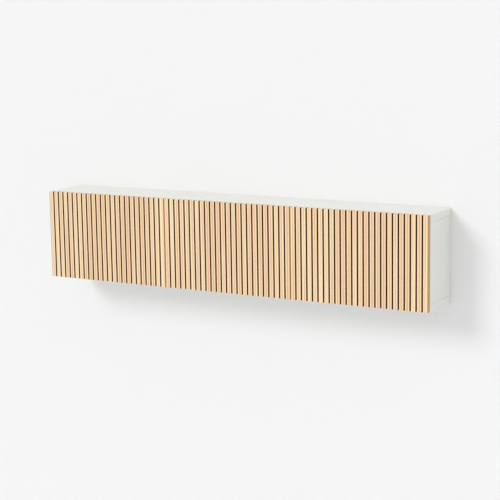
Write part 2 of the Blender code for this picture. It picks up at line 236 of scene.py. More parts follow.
def paintJointShade(tree, coords, colour):
    # painted shade: the dark line in the groove where a side meets the board over or under it, on upright
    # faces only
    look = paintedJointShade
    height = splitXYZ(tree, coords)["Z"]
    normal = addNode(tree, "ShaderNodeNewGeometry").outputs["Normal"]
    upward = addMath(tree, "ABSOLUTE", splitXYZ(tree, normal)["Z"])
    lines = [addMath(tree, "COMPARE", height, level, look["reach"]) for level in look["levels"]]
    upright = addMath(tree, "LESS_THAN", upward, look["steepest"])
    shade = addMath(tree, "MULTIPLY", addMath(tree, "MAXIMUM", *lines), upright)
    return mixColours(tree, addMath(tree, "MULTIPLY", shade, look["share"]), colour, look["colour"])


def makeMottledFinish(name, look):
    material, tree, shader, coords = startMaterial(name)
    mottle = placeMottle(tree, coords, look)
    tone = spread(tree, mottle["Cloud"], 0.0, 1.0)
    colour = mixColours(tree, tone, look["dark"], look["light"])
    # the white foil gets painted shade in the board joints
    if name == "whiteFoil":
        colour = paintJointShade(tree, coords, colour)
    tree.links.new(colour, shader.inputs["Base Color"])
    tree.links.new(spread(tree, mottle["Cloud"], *look["roughness"]), shader.inputs["Roughness"])
    shader.inputs["Metallic"].default_value = look["metallic"]
    addBump(tree, shader, mottle["Grit"], look["bump"], look["depth"])
    return material


zincLooks = {
    "zincSheet": {
        "dull": (0.50, 0.51, 0.53, 1), "bright": (0.66, 0.67, 0.69, 1), "flakeScale": 260.0,
        "flakeShare": 0.6, "cloud": 40.0, "grit": 1200.0, "roughness": (0.32, 0.50), "bump": 0.1,
        "depth": 0.0001,
    },
    "zincPlate": {
        "dull": (0.54, 0.55, 0.57, 1), "bright": (0.68, 0.69, 0.71, 1), "flakeScale": 2400.0,
        "flakeShare": 0.3, "cloud": 40.0, "grit": 1200.0, "roughness": (0.28, 0.44), "bump": 0.2,
        "depth": 0.0001,
    },
}


def makeZincFinish(name, look):
    # plated steel, whose crystals catch the light a little differently: large on the rails, fine elsewhere
    material, tree, shader, coords = startMaterial(name)
    flakes = addNode(tree, "ShaderNodeTexVoronoi", {"Vector": coords, "Scale": look["flakeScale"]})
    flake = addNode(tree, "ShaderNodeSeparateColor", {0: flakes.outputs["Color"]}).outputs[0]
    mottle = placeMottle(tree, coords, look)
    cloud = addMath(tree, "MULTIPLY", mottle["Cloud"], 1 - look["flakeShare"])
    tone = addMath(tree, "MULTIPLY_ADD", flake, look["flakeShare"], cloud)
    tree.links.new(mixColours(tree, tone, look["dull"], look["bright"]), shader.inputs["Base Color"])
    smoothest, roughest = look["roughness"]
    rough = mapRange(tree, tone, (0.0, 1.0), (roughest, smoothest))
    tree.links.new(rough, shader.inputs["Roughness"])
    shader.inputs["Metallic"].default_value = 1.0
    addBump(tree, shader, mottle["Grit"], look["bump"], look["depth"])
    return material


birchLooks = {
    "birchSlat": {
        "pale": (1.00, 0.842, 0.524, 1), "warm": (0.770, 0.435, 0.248, 1), "streak": (0.66, 0.38, 0.20, 1),
        "pore": (0.45, 0.26, 0.13, 1), "seed": 17659, "stripWidth": 0.025, "stripShare": 0.78,
        "bandTones": (-0.10, 1.00), "streakShare": 0.22, "poreShare": 0.14, "edgeHighlight": 0.70,
        "darkRim": 0.85, "lip": 0.90, "roughness": (0.40, 0.54), "bump": 0.25,
    },
    "birchBack": {
        "pale": (0.88, 0.670, 0.440, 1), "warm": (0.760, 0.520, 0.310, 1), "streak": (0.60, 0.37, 0.19, 1),
        "pore": (0.42, 0.25, 0.13, 1), "seed": 0, "stripWidth": 0.15, "stripShare": 0.25,
        "bandTones": (0.0, 0.45), "streakShare": 0.20, "poreShare": 0.12, "edgeHighlight": 0.0,
        "darkRim": 0.0, "lip": 0.0, "roughness": (0.45, 0.58), "bump": 0.2,
    },
    "birchEdge": {
        "pale": (0.610, 0.385, 0.195, 1), "warm": (0.515, 0.305, 0.142, 1), "streak": (0.40, 0.24, 0.12, 1),
        "pore": (0.25, 0.13, 0.06, 1), "seed": 0, "stripWidth": 0.6, "stripShare": 0.1,
        "bandTones": (0.0, 0.5), "streakShare": 0.25, "poreShare": 0.12, "edgeHighlight": 0.0,
        "darkRim": 0.0, "lip": 0.0, "roughness": (0.45, 0.60), "bump": 0.2,
    },
}
# the painted highlight at a slat's edges and the darker rim next to the gaps reach out from a strip's
# middle, in strip widths; the lip reaches in from a door's edge, in metres
birchShared = {
    "bandNoise": (0.37, 0.63), "poreNoise": (0.58, 0.72), "grainShift": 7.0, "depth": 0.0002,
    "edgeHighlightReach": (0.09, 0.20), "darkRimReach": (0.317, 0.374), "lipReach": (0.0032, 0.0016),
    "darkRimColour": (0.46, 0.120, 0.080, 1), "lipColour": (0.56, 0.280, 0.115, 1),
    "doorPitch": 0.6, "doorReveal": 0.0015, "doorWarmth": 0.02,
}


def makeBirchFinish(name, look):
    # clear-lacquered birch in strips with tones of their own: the same in every door, which is a little
    # warmer than the one to its left; each slat gets a painted highlight, paler towards its edges
    material, tree, shader, coords = startMaterial(name)
    shared = birchShared
    along = addMath(tree, "SUBTRACT", splitXYZ(tree, coords)["X"], cadLow.x)
    doors = addMath(tree, "DIVIDE", along, shared["doorPitch"])
    inDoor = addMath(tree, "MULTIPLY", addMath(tree, "FRACT", doors), shared["doorPitch"])
    strips = addMath(tree, "DIVIDE", inDoor, look["stripWidth"])
    strip = addMath(tree, "ADD", addMath(tree, "FLOOR", strips), look["seed"])
    chance = addNode(tree, "ShaderNodeTexWhiteNoise", {"W": strip}, noise_dimensions="1D").outputs["Value"]
    grain = placeGroup(tree, grainGroup, {
        "Vector": coords, "Piece Shift": addMath(tree, "MULTIPLY", chance, shared["grainShift"]),
    }).outputs
    bands = mapRange(tree, grain["Bands"], shared["bandNoise"], look["bandTones"])
    tone = addMath(tree, "MULTIPLY_ADD", chance, look["stripShare"], bands)
    tone = addMath(tree, "MULTIPLY_ADD", addMath(tree, "FLOOR", doors), shared["doorWarmth"], tone)
    colour = mixColours(tree, tone, look["pale"], look["warm"])
    streaks = spread(tree, grain["Streaks"], 0.0, look["streakShare"])
    colour = mixColours(tree, streaks, colour, look["streak"])
    offMiddle = addMath(tree, "SUBTRACT", addMath(tree, "FRACT", strips), 0.5)
    fromMiddle = addMath(tree, "ABSOLUTE", offMiddle)
    # painted highlight: each slat paler towards its two edges
    edgeHighlight = mapRange(tree, fromMiddle, shared["edgeHighlightReach"], (0.0, look["edgeHighlight"]))
    colour = mixColours(tree, edgeHighlight, colour, look["pale"])
    if look["darkRim"]:
        # darker and redder towards each slat's two edges, next to the gaps
        darkRim = mapRange(tree, fromMiddle, shared["darkRimReach"], (0.0, look["darkRim"]))
        colour = mixColours(tree, darkRim, colour, shared["darkRimColour"])
    if look["lip"]:
        # darker and warmer along each door's two upright edges
        across = addMath(tree, "PINGPONG", addMath(tree, "FRACT", doors), 0.5)
        toEdge = addMath(tree, "MULTIPLY", across, shared["doorPitch"])
        reach = [shared["doorReveal"] + distance for distance in shared["lipReach"]]
        lip = mapRange(tree, toEdge, reach, (0.0, look["lip"]))
        colour = mixColours(tree, lip, colour, shared["lipColour"])
    pores = mapRange(tree, grain["Pores"], shared["poreNoise"], (0.0, look["poreShare"]))
    colour = mixColours(tree, pores, colour, look["pore"])
    tree.links.new(colour, shader.inputs["Base Color"])
    tree.links.new(spread(tree, grain["Streaks"], *look["roughness"]), shader.inputs["Roughness"])
    relief = addMath(tree, "SUBTRACT", grain["Streaks"], pores)
    addBump(tree, shader, relief, look["bump"], shared["depth"])
    return material


stainLook = {
    "dark": (0.042, 0.008, 0.007, 1), "light": (0.066, 0.016, 0.012, 1), "roughness": (0.7, 0.9),
    "gloss": 0.08, "bump": 0.3, "depth": 0.0002,
}


def makeStainFinish():
    # the dark stained ground between the slats
    material, tree, shader, coords = startMaterial("darkGround")
    look = stainLook
    grain = placeGroup(tree, grainGroup, {"Vector": coords}).outputs
    tone = spread(tree, grain["Streaks"], 0.0, 1.0)
    tree.links.new(mixColours(tree, tone, look["dark"], look["light"]), shader.inputs["Base Color"])
    tree.links.new(spread(tree, grain["Bands"], *look["roughness"]), shader.inputs["Roughness"])
    shader.inputs["Specular IOR Level"].default_value = look["gloss"]
    addBump(tree, shader, grain["Pores"], look["bump"], look["depth"])
    return material


finishes = {name: makeMottledFinish(name, look) for name, look in mottledFinishes.items()}
for name, look in zincLooks.items():
    finishes[name] = makeZincFinish(name, look)
for name, look in birchLooks.items():
    finishes[name] = makeBirchFinish(name, look)
finishes["darkGround"] = makeStainFinish()
print("finishes made:", len(finishes))


# Shared mesh helpers

weldDistance = 0.000001


def nodesCalled(start):
    return [name for name in nodes if name.startswith(start)]


def weldedShape(nodeName):
    # a solid's own mesh, to edit
    shape = bmesh.new()
    shape.from_mesh(nodes[nodeName].data)
    bmesh.ops.remove_doubles(shape, verts=shape.verts, dist=weldDistance)
    return shape


def placeObject(name, data):
    made = bpy.data.objects.new(name, data)
    bpy.context.scene.collection.objects.link(made)
    return made


def finishMesh(shape, name, materials):
    mesh = bpy.data.meshes.new(name)
    shape.to_mesh(mesh)
    shape.free()
    for material in materials:
        mesh.materials.append(material)
    return placeObject(name, mesh)


def bakeModifiers(source, name):
    # turns an object with modifiers into a plain mesh in an object of its own
    bpy.context.view_layer.update()
    graph = bpy.context.evaluated_depsgraph_get()
    mesh = bpy.data.meshes.new_from_object(source.evaluated_get(graph))
    mesh.name = name
    made = placeObject(name, mesh)
    bpy.data.objects.remove(source)
    return made


def addBox(shape, low, high):
    low, high = Vector(low), Vector(high)
    matrix = Matrix.Translation((low + high) / 2) @ Matrix.Diagonal((*(high - low), 1))
    bmesh.ops.create_cube(shape, size=1, matrix=matrix)


def addTree(target, tree, values):
    modifier = target.modifiers.new(tree.name, "NODES")
    modifier.node_group = tree
    for item in tree.interface.items_tree:
        if item.item_type == "SOCKET" and item.in_out == "INPUT" and item.name in values:
            modifier[item.identifier] = values[item.name]


def addCut(target, cutter, materialMode="INDEX"):
    step = target.modifiers.new("cut", "BOOLEAN")
    step.object = cutter
    step.solver = "EXACT"
    step.material_mode = materialMode


def smoothRound(made, degrees=35):
    made.data.shade_smooth()
    made.data.set_sharp_from_angle(angle=math.radians(degrees))


# Doors: a board with a dark ground, and slats on it

doorLook = {
    "slatCount": 24, "slatPitch": 0.025, "slatGap": 0.0055, "slatHeight": 0.005, "slatRound": 0.0004,
    "slatRoundSteps": 3, "boardRound": 0.0004, "boardRoundSteps": 2, "cupFlangeRadius": 0.0195,
    "cupRadius": 0.0175, "boreClearance": 0.0003, "boreBeyond": 0.002, "boreSides": 64,
}
# how much of a face's normal lies along an axis before the face counts as facing that way
facingLeast = {"gapSide": 0.1, "doorEdge": 0.3, "flat": 0.9}


def makeSlatTree():
    # a row of slats along X, each a rounded section drawn out along Z, with wider end slats
    tree, given, out = newGroup(
        "slatRow", "GeometryNodeTree",
        [("Geometry", "NodeSocketGeometry", None), ("Count", "NodeSocketInt", 24),
         ("Pitch", "NodeSocketFloat", 0.025), ("Width", "NodeSocketFloat", 0.02),
         ("Height", "NodeSocketFloat", 0.005), ("Length", "NodeSocketFloat", 0.4),
         ("Round", "NodeSocketFloat", 0.0006), ("Start", "NodeSocketVector", None),
         ("End Extra", "NodeSocketFloat", 0.001), ("Finish", "NodeSocketMaterial", None),
         ("Gap Finish", "NodeSocketMaterial", None), ("Edge Finish", "NodeSocketMaterial", None)],
        [("Geometry", "NodeSocketGeometry")],
    )
    want = given.outputs
    section = addNode(tree, "GeometryNodeCurvePrimitiveQuadrilateral", {
        "Width": want["Width"], "Height": want["Height"],
    })
    rounded = addNode(tree, "GeometryNodeFilletCurve", {
        "Curve": section.outputs[0], "Count": doorLook["slatRoundSteps"], "Radius": want["Round"],
    }, mode="POLY")
    path = addNode(tree, "GeometryNodeCurvePrimitiveLine", {"End": joinXYZ(tree, {"Z": want["Length"]})})
    slat = addNode(tree, "GeometryNodeCurveToMesh", {
        "Curve": path.outputs[0], "Profile Curve": rounded.outputs[0], "Fill Caps": True,
    })
    places = addNode(tree, "GeometryNodeMeshLine", {
        "Count": want["Count"], "Start Location": want["Start"],
        "Offset": joinXYZ(tree, {"X": want["Pitch"]}),
    })
    copies = addNode(tree, "GeometryNodeInstanceOnPoints", {
        "Points": places.outputs[0], "Instance": slat.outputs[0],
    })
    real = addNode(tree, "GeometryNodeRealizeInstances", {"Geometry": copies.outputs[0]})
    steps = addMath(tree, "SUBTRACT", want["Count"], 1.0)
    halfRun = addMath(tree, "MULTIPLY", addMath(tree, "MULTIPLY", steps, want["Pitch"]), 0.5)
    middle = addMath(tree, "ADD", splitXYZ(tree, want["Start"])["X"], halfRun)
    position = addNode(tree, "GeometryNodeInputPosition").outputs[0]
    fromMiddle = addMath(tree, "SUBTRACT", splitXYZ(tree, position)["X"], middle)
    distance = addMath(tree, "ABSOLUTE", fromMiddle)
    beyond = addMath(tree, "GREATER_THAN", distance, halfRun)
    extra = addMath(tree, "MULTIPLY", beyond, want["End Extra"])
    push = addMath(tree, "MULTIPLY", addMath(tree, "SIGN", fromMiddle), extra)
    moved = addNode(tree, "GeometryNodeSetPosition", {
        "Geometry": real.outputs[0], "Offset": joinXYZ(tree, {"X": push}),
    })
    painted = addNode(tree, "GeometryNodeSetMaterial", {
        "Geometry": moved.outputs[0], "Material": want["Finish"],
    })
    normal = addNode(tree, "GeometryNodeInputNormal").outputs[0]
    sideways = addMath(tree, "ABSOLUTE", splitXYZ(tree, normal)["X"])
    lastEdge = addMath(tree, "MULTIPLY_ADD", want["Width"], 0.5, halfRun)
    outer = addMath(tree, "GREATER_THAN", distance, lastEdge)
    onGap = addMath(tree, "GREATER_THAN", sideways, facingLeast["gapSide"])
    onDoorEdge = addMath(tree, "GREATER_THAN", sideways, facingLeast["doorEdge"])
    stained = addNode(tree, "GeometryNodeSetMaterial", {
        "Geometry": painted.outputs[0], "Material": want["Gap Finish"],
        "Selection": addMath(tree, "MULTIPLY", onGap, addMath(tree, "SUBTRACT", 1.0, outer)),
    })
    edged = addNode(tree, "GeometryNodeSetMaterial", {
        "Geometry": stained.outputs[0], "Material": want["Edge Finish"],
        "Selection": addMath(tree, "MULTIPLY", onDoorEdge, outer),
    })
    tree.links.new(edged.outputs[0], out.inputs[0])
    return tree


slatTree = makeSlatTree()


def makeSlats(name):
    low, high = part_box(f"door_{name}")
    look = doorLook
    width = look["slatPitch"] - look["slatGap"]
    halfRun = look["slatPitch"] * (look["slatCount"] - 1) / 2
    firstX = (low.x + high.x) / 2 - halfRun
    endExtra = (high.x - low.x) / 2 - (halfRun + width / 2)
    holder = finishMesh(bmesh.new(), f"slatSource_{name}", [])
    addTree(holder, slatTree, {
        "Count": look["slatCount"], "Pitch": look["slatPitch"], "Width": width,
        "Height": look["slatHeight"], "Length": high.z - low.z, "Round": look["slatRound"],
        "Start": (firstX, low.y + look["slatHeight"] / 2, low.z), "End Extra": endExtra,
        "Finish": finishes["birchSlat"], "Gap Finish": finishes["darkGround"],
        "Edge Finish": finishes["birchEdge"],
    })
    slats = bakeModifiers(holder, f"slats_{name}")
    smoothRound(slats)
    return slats


def makeBore(name, level, backY):
    # a drill a little wider than the hinge cup, which runs out through the door's back
    look = doorLook
    low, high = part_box(f"hinge_cup_{level}_{name}")
    opens = 1 if hinges[name] == "left" else -1
    edgeX = low.x if opens > 0 else high.x
    floorY = low.y - look["boreClearance"]
    mouthY = backY + look["boreBeyond"]
    middle = (edgeX + opens * look["cupFlangeRadius"], (mouthY + floorY) / 2, (low.z + high.z) / 2)
    radius = look["cupRadius"] + look["boreClearance"]
    shape = bmesh.new()
    bmesh.ops.create_cone(
        shape, cap_ends=True, segments=look["boreSides"], radius1=radius, radius2=radius,
        depth=mouthY - floorY, matrix=Matrix.Translation(middle) @ Matrix.Rotation(math.pi / 2, 4, "X"),
    )
    return finishMesh(shape, f"boreSource_{level}_{name}", [finishes["birchSlat"]])


def makeBoard(name):
    # the board behind the slats, stained in front, with a bore for each hinge cup
    low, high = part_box(f"door_{name}")
    shape = bmesh.new()
    addBox(shape, (low.x, low.y + doorLook["slatHeight"], low.z), high)
    bmesh.ops.bevel(
        shape, geom=[edge for edge in shape.edges], offset=doorLook["boardRound"],
        segments=doorLook["boardRoundSteps"], affect="EDGES",
    )
    for face in shape.faces:
        if face.normal.y < -facingLeast["flat"]:
            face.material_index = 1
        elif abs(face.normal.x) > facingLeast["doorEdge"]:
            face.material_index = 2
        elif face.normal.y > facingLeast["flat"]:
            face.material_index = 3
    looks = [finishes[look] for look in ("birchSlat", "darkGround", "birchEdge", "birchBack")]
    board = finishMesh(shape, f"boardSource_{name}", looks)
    bores = [makeBore(name, level, high.y) for level in ("upper", "lower")]
    for bore in bores:
        addCut(board, bore)
    made = bakeModifiers(board, f"door_board_{name}")
    for bore in bores:
        bpy.data.objects.remove(bore)
    return made


for name in hinges:
    board = makeBoard(name)
    slats = makeSlats(name)
    for piece in (board, slats):
        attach(piece, f"swinging_door_{name}")
        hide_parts(f"door_{name}")
print("doors made:", len(hinges))


# Small fittings: screws, caps and buffers, set on points that know which way they face

fittingLooks = {
    "cupScrew": {"radius": 0.0036, "height": 0.0007, "dome": 0.0007, "crossed": True,
                 "finish": "hingeNickel", "slot": "hinge_nickel"},
    "plateScrew": {"radius": 0.0040, "height": 0.0009, "dome": 0.0009, "crossed": True,
                   "finish": "hingeNickel", "slot": "hinge_nickel"},
    "adjustingScrew": {"radius": 0.0030, "height": 0.0006, "dome": 0.0004, "crossed": True,
                       "finish": "zincPlate", "slot": "zinc_plate"},
    "hangerScrew": {"radius": 0.0042, "height": 0.0008, "dome": 0.0008, "crossed": True,
                    "finish": "zincPlate", "slot": "zinc_plate"},
    "latchScrew": {"radius": 0.0030, "height": 0.0006, "dome": 0.0006, "crossed": True,
                   "finish": "zincPlate", "slot": "zinc_plate"},
    "strikerScrew": {"radius": 0.0022, "height": 0.0004, "dome": 0.0003, "crossed": True,
                     "finish": "zincPlate", "slot": "zinc_plate"},
    "railScrew": {"radius": 0.0055, "height": 0.0012, "dome": 0.0014, "crossed": True,
                  "finish": "zincPlate", "slot": "zinc_plate"},
    "railShank": {"radius": 0.0021, "height": 0.0015, "dome": 0.0, "crossed": False,
                  "finish": "zincPlate", "slot": "zinc_plate"},
    "joiningScrew": {"radius": 0.0060, "height": 0.0008, "dome": 0.0006, "crossed": True,
                     "finish": "zincPlate", "slot": "zinc_plate"},
    "camCover": {"radius": 0.0085, "height": 0.0005, "dome": 0.0003, "crossed": False,
                 "finish": "whitePlastic", "slot": "white_plastic"},
    "doorBuffer": {"radius": 0.0040, "height": 0.0010, "dome": 0.0006, "crossed": False,
                   "finish": "bufferRubber", "slot": "grey_plastic"},
}
fittingSides = 20
fittingRings = 3
crossShares = {"width": 0.26, "length": 1.15, "depth": 0.75}


def makeFittingTree():
    # a low domed head, crossed for a screwdriver if asked, set on each point along its facing
    tree, given, out = newGroup(
        "fittings", "GeometryNodeTree",
        [("Geometry", "NodeSocketGeometry", None), ("Sides", "NodeSocketInt", 20),
         ("Radius", "NodeSocketFloat", 0.004), ("Height", "NodeSocketFloat", 0.001),
         ("Dome", "NodeSocketFloat", 0.001), ("Crossed", "NodeSocketBool", True),
         ("Cross Width", "NodeSocketFloat", 0.001), ("Cross Length", "NodeSocketFloat", 0.004),
         ("Cross Depth", "NodeSocketFloat", 0.001), ("Finish", "NodeSocketMaterial", None)],
        [("Geometry", "NodeSocketGeometry")],
    )
    want = given.outputs
    disc = addNode(tree, "GeometryNodeMeshCylinder", {
        "Vertices": want["Sides"], "Fill Segments": fittingRings, "Radius": want["Radius"],
        "Depth": want["Height"],
    })
    where = splitXYZ(tree, addNode(tree, "GeometryNodeInputPosition").outputs[0])
    flat = joinXYZ(tree, {"X": where["X"], "Y": where["Y"]})
    reach = addNode(tree, "ShaderNodeVectorMath", {0: flat}, operation="LENGTH").outputs["Value"]
    share = addMath(tree, "DIVIDE", reach, want["Radius"])
    crown = addMath(tree, "SUBTRACT", 1.0, addMath(tree, "MULTIPLY", share, share))
    onTop = addMath(tree, "GREATER_THAN", where["Z"], 0.0)
    lift = addMath(tree, "MULTIPLY", addMath(tree, "MULTIPLY", crown, want["Dome"]), onTop)
    raised = addMath(tree, "MULTIPLY_ADD", want["Height"], 0.5, lift)
    head = addNode(tree, "GeometryNodeSetPosition", {
        "Geometry": disc.outputs["Mesh"], "Offset": joinXYZ(tree, {"Z": raised}),
    })
    top = joinXYZ(tree, {"Z": addMath(tree, "ADD", want["Height"], want["Dome"])})
    meshes = {"Mesh 1": head.outputs[0]}
    crossed = addNode(tree, "GeometryNodeMeshBoolean", meshes, operation="DIFFERENCE", solver="EXACT")
    deep = addMath(tree, "MULTIPLY", want["Cross Depth"], 2.0)
    for longAxis, shortAxis in (("X", "Y"), ("Y", "X")):
        size = joinXYZ(tree, {longAxis: want["Cross Length"], shortAxis: want["Cross Width"], "Z": deep})
        bar = addNode(tree, "GeometryNodeMeshCube", {"Size": size})
        lifted = addNode(tree, "GeometryNodeTransform", {
            "Geometry": bar.outputs["Mesh"], "Translation": top,
        })
        tree.links.new(lifted.outputs[0], crossed.inputs["Mesh 2"])
    chosen = addNode(tree, "GeometryNodeSwitch", {
        "Switch": want["Crossed"], "False": head.outputs[0], "True": crossed.outputs["Mesh"],
    }, input_type="GEOMETRY")
    facing = addNode(tree, "GeometryNodeInputNamedAttribute", {"Name": "facing"}, data_type="FLOAT_VECTOR")
    toward = {"Vector": facing.outputs["Attribute"]}
    turn = addNode(tree, "FunctionNodeAlignRotationToVector", toward, axis="Z")
    copies = addNode(tree, "GeometryNodeInstanceOnPoints", {
        "Points": want["Geometry"], "Instance": chosen.outputs[0], "Rotation": turn.outputs[0],
    })
    real = addNode(tree, "GeometryNodeRealizeInstances", {"Geometry": copies.outputs[0]})
    painted = addNode(tree, "GeometryNodeSetMaterial", {
        "Geometry": real.outputs[0], "Material": want["Finish"],
    })
    tree.links.new(painted.outputs[0], out.inputs[0])
    return tree


fittingTree = makeFittingTree()


def makeRounds(name, look, spots):
    mesh = bpy.data.meshes.new("spots")
    mesh.from_pydata([tuple(place) for place, facing in spots], [], [])
    facings = mesh.attributes.new("facing", "FLOAT_VECTOR", "POINT")
    facings.data.foreach_set("vector", [value for place, facing in spots for value in facing])
    holder = placeObject("spots", mesh)
    radius = look["radius"]
    addTree(holder, fittingTree, {
        "Sides": fittingSides, "Radius": radius, "Height": look["height"], "Dome": look["dome"],
        "Crossed": look["crossed"], "Cross Width": crossShares["width"] * radius,
        "Cross Length": crossShares["length"] * radius,
        "Cross Depth": crossShares["depth"] * (look["height"] + look["dome"]),
        "Finish": finishes[look["finish"]],
    })
    made = bakeModifiers(holder, name)
    smoothRound(made)
    return made


# Side panels with their rows of shelf-pin holes

drillLook = {
    "radius": 0.0025, "height": 0.011, "dome": 0.0, "crossed": False, "finish": "chipBoard",
    "outside": 0.001, "columns": (0.037, 0.150), "rows": (-2, -1, 0, 1, 2), "rowPitch": 0.032, "clear": 0.004,
}
coveringNodes = nodesCalled(("latch_housing", "hinge_arm", "hanger_block"))


def isCovered(place):
    margin = Vector((1, 1, 1)) * drillLook["clear"]
    for name in coveringNodes:
        low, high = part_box(name)
        low, high = low - margin, high + margin
        if all(low[axis] <= place[axis] <= high[axis] for axis in range(3)):
            return True
    return False


def makeDrilledSide(nodeName):
    low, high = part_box(nodeName)
    inward = 1 if nodeName.startswith("side_left") else -1
    faceX = high.x if inward > 0 else low.x
    spots = []
    for column in drillLook["columns"]:
        for row in drillLook["rows"]:
            place = Vector((faceX, low.y + column, (low.z + high.z) / 2 + row * drillLook["rowPitch"]))
            if not isCovered(place):
                place.x += inward * drillLook["outside"]
                spots.append((place, (-inward, 0, 0)))
    drills = makeRounds("drills", drillLook, spots)
    panel = finishMesh(weldedShape(nodeName), nodeName + "_source", [finishes["whiteFoil"]])
    addCut(panel, drills, materialMode="TRANSFER")
    made = bakeModifiers(panel, nodeName + "_drilled")
    bpy.data.objects.remove(drills)
    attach(made, "cabinet")
    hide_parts(nodeName)


for nodeName in nodesCalled("side_"):
    makeDrilledSide(nodeName)
print("side panels drilled")


# Plates and blocks with softened edges

softenedLooks = {
    "latch_striker": {"corner": 0.0020, "rim": 0.0002, "thinAxis": 1, "finish": "zincPlate",
                      "slot": "zinc_plate", "onDoor": True},
    "hanger_hook": {"corner": 0.0015, "rim": 0.0003, "thinAxis": 0, "finish": "zincPlate",
                    "slot": "zinc_plate", "onDoor": False},
    "hanger_block": {"corner": 0.0, "rim": 0.0005, "thinAxis": 0, "finish": "whitePlastic",
                     "slot": "white_plastic", "onDoor": False},
}
roundingLook = {
    "sharp": math.radians(30), "flat": math.radians(1), "alongAxis": 0.9, "cornerSteps": 4, "rimSteps": 2,
    "profile": 0.5,
}


def isSharp(edge):
    return edge.is_convex and edge.calc_face_angle() > roundingLook["sharp"]


def runsAlong(edge, axis):
    direction = (edge.verts[0].co - edge.verts[1].co).normalized()
    return abs(direction[axis]) > roundingLook["alongAxis"]


def roundEdges(shape, edges, radius, steps):
    bmesh.ops.bevel(
        shape, geom=edges, offset=radius, segments=steps, profile=roundingLook["profile"], affect="EDGES",
    )


def softenNode(nodeName, look):
    # the node's own shape with its outward corners rounded, first those of its outline, then every rim
    shape = weldedShape(nodeName)
    bmesh.ops.dissolve_limit(shape, angle_limit=roundingLook["flat"], verts=shape.verts, edges=shape.edges)
    if look["corner"]:
        corners = [edge for edge in shape.edges if isSharp(edge) and runsAlong(edge, look["thinAxis"])]
        roundEdges(shape, corners, look["corner"], roundingLook["cornerSteps"])
    rims = [edge for edge in shape.edges if isSharp(edge)]
    roundEdges(shape, rims, look["rim"], roundingLook["rimSteps"])
    made = finishMesh(shape, nodeName + "_softened", [finishes[look["finish"]]])
    smoothRound(made)
    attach(made, "swinging_door_" + nodeName.rsplit("_", 1)[1] if look["onDoor"] else "cabinet")
    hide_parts(nodeName)


for start, look in softenedLooks.items():
    for nodeName in nodesCalled(start):
        softenNode(nodeName, look)
print("edges softened:", ", ".join(softenedLooks))


# Where the fittings go

fittingPlaces = {
    "wingShift": 0.003, "cupSpacing": 0.024, "plateSheet": 0.002, "plateBack": 0.037, "plateSpacing": 0.018,
    "adjustBack": (0.026, 0.047), "hangerEnd": 0.011, "latchBack": (0.016, 0.044), "strikerSpacing": 0.0075,
    "railShares": (-0.41, -0.15, 0.15, 0.41), "railSheet": 0.0015, "railSlotZ": -0.00675,
    "joinBack": 0.068, "joinDown": (0.050, -0.060), "camEnd": 0.034, "camBack": (0.093, 0.170),
    "bufferIn": 0.0085, "bufferEnd": 0.015,
}


def dressModule(name):
    places = fittingPlaces
    opens = 1 if hinges[name] == "left" else -1
    door = f"swinging_door_{name}"
    spots = {kind: [] for kind in fittingLooks}
    for level in ("upper", "lower"):
        low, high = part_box(f"hinge_cup_{level}_{name}")
        middle = (low + high) / 2
        for end in (-1, 1):
            spots["cupScrew"].append((
                (middle.x + opens * places["wingShift"], high.y, middle.z + end * places["cupSpacing"]),
                (0, 1, 0),
            ))
        low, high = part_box(f"hinge_arm_{level}_{name}")
        middle = (low + high) / 2
        seat, crest = (low.x, high.x) if opens > 0 else (high.x, low.x)
        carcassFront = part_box(f"side_left_{name}")[0].y
        for end in (-1, 1):
            spots["plateScrew"].append((
                (seat + opens * places["plateSheet"], carcassFront + places["plateBack"],
                 middle.z + end * places["plateSpacing"]), (opens, 0, 0),
            ))
        for back in places["adjustBack"]:
            spots["adjustingScrew"].append(((crest, carcassFront + back, middle.z), (opens, 0, 0)))
    for side in ("left", "right"):
        low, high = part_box(f"hanger_block_{side}_{name}")
        for height in (low.z + places["hangerEnd"], high.z - places["hangerEnd"]):
            spots["hangerScrew"].append((((low.x + high.x) / 2, low.y, height), (0, -1, 0)))
        low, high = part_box(f"side_{side}_{name}")
        inward = 1 if side == "left" else -1
        faceX = high.x if inward > 0 else low.x
        middle = (low + high) / 2
        isJoined = (name, side) not in (("left", "left"), ("right", "right"))
        if isJoined:
            for down in places["joinDown"]:
                spots["joiningScrew"].append(((faceX, low.y + places["joinBack"], middle.z + down),
                                              (inward, 0, 0)))
        for back in places["camBack"]:
            for height in (low.z + places["camEnd"], high.z - places["camEnd"]):
                if not isCovered(Vector((faceX, low.y + back, height))):
                    spots["camCover"].append(((faceX, low.y + back, height), (inward, 0, 0)))
    low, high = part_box(f"latch_housing_{name}")
    faceX = low.x if opens > 0 else high.x
    for back in places["latchBack"]:
        spots["latchScrew"].append(((faceX, low.y + back, (low.z + high.z) / 2), (-opens, 0, 0)))
    low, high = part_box(f"latch_striker_{name}")
    for end in (-1, 1):
        spots["strikerScrew"].append((
            ((low.x + high.x) / 2, high.y, (low.z + high.z) / 2 + end * places["strikerSpacing"]), (0, 1, 0),
        ))
    low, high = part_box(f"wall_rail_{name}")
    for share in places["railShares"]:
        across = (low.x + high.x) / 2 + share * (high.x - low.x)
        spots["railScrew"].append(((across, high.y - places["railSheet"], places["railSlotZ"]), (0, -1, 0)))
        spots["railShank"].append(((across, high.y, places["railSlotZ"]), (0, -1, 0)))
    low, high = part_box(f"door_{name}")
    freeX = high.x - places["bufferIn"] if opens > 0 else low.x + places["bufferIn"]
    for height in (low.z + places["bufferEnd"], high.z - places["bufferEnd"]):
        spots["doorBuffer"].append(((freeX, high.y, height), (0, 1, 0)))
    for kind, found in spots.items():
        made = makeRounds(f"{kind}_{name}", fittingLooks[kind], found)
        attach(made, door if kind in ("cupScrew", "strikerScrew", "doorBuffer") else "cabinet")


for name in hinges:
    dressModule(name)
print("fittings set:", ", ".join(fittingLooks))


# Carried-over solids and their finishes

